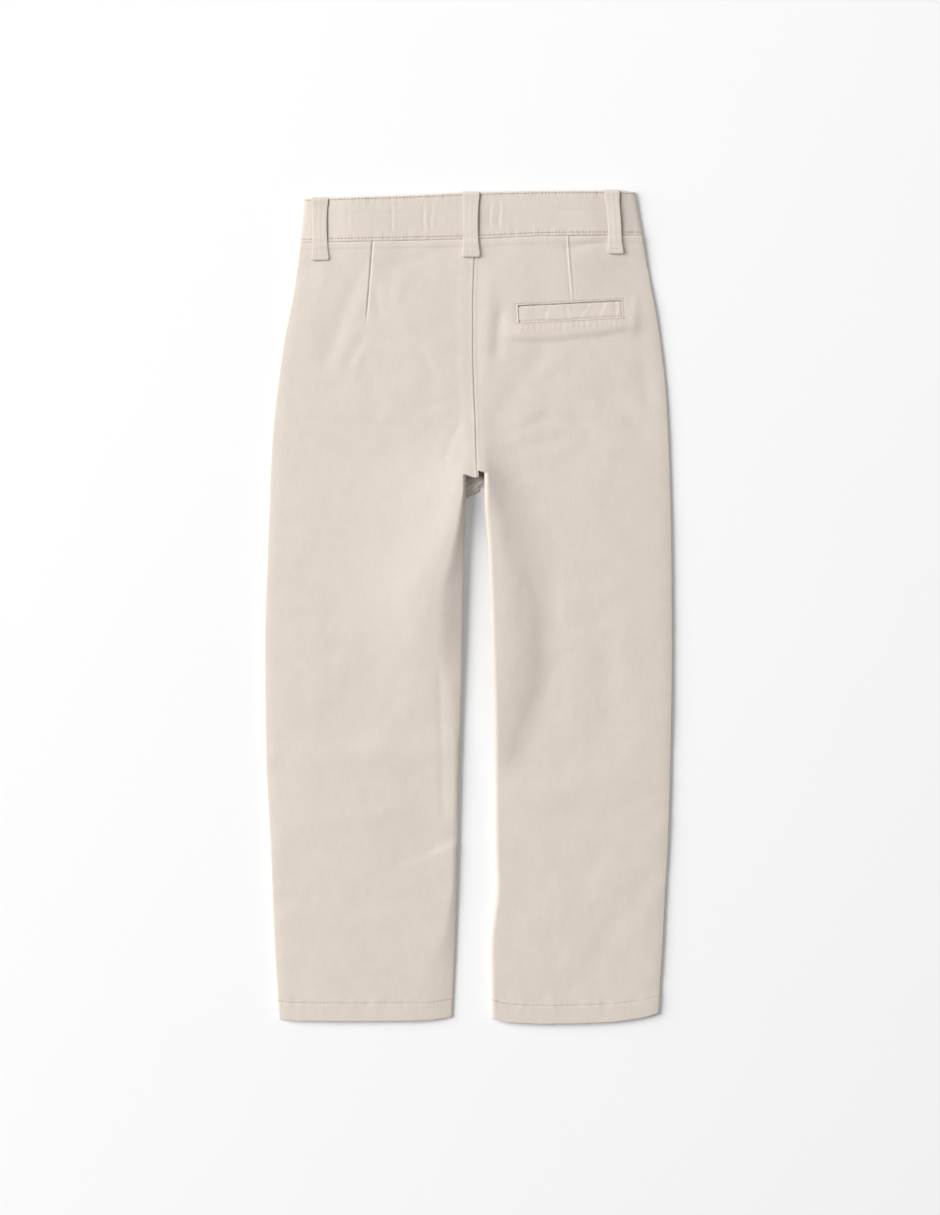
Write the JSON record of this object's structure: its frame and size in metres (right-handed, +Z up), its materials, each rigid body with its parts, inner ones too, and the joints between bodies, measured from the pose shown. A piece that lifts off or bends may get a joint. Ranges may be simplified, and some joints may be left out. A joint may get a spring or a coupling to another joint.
{
  "type": "trousers",
  "caption": "Child's beige chino trousers laid flat with the back upwards: waistband with belt loops, back darts, a welt pocket and straight hemmed legs.",
  "frame": {"origin": "centre of the bounding box's base, on the surface that the trousers lie on", "axes": "+Z up, out of the back of the trousers; +Y from the hems to the waist; +X towards the wearer's right"},
  "size_m": [0.3558, 0.726, 0.015],
  "materials": {
    "twill": "matt brushed cotton twill, warm beige, with matching thread",
    "button": "satin, four holes, a shade darker than the cloth"
  },
  "bodies": {
    "root": {"back_panel_left": "twill", "back_panel_left_leg": "twill", "back_panel_right": "twill", "back_panel_right_leg": "twill", "pocket_welt": "twill", "front_panel_left": "twill", "front_panel_left_leg": "twill", "front_panel_right": "twill", "front_panel_right_leg": "twill", "waistband_back": "twill", "waistband_front_left": "twill", "waistband_front_right": "twill", "belt_loop_back_left": "twill", "belt_loop_back_centre": "twill", "belt_loop_back_right": "twill", "belt_loop_front_left": "twill", "belt_loop_front_right": "twill", "waist_button": "button"}
  },
  "joints": []
}
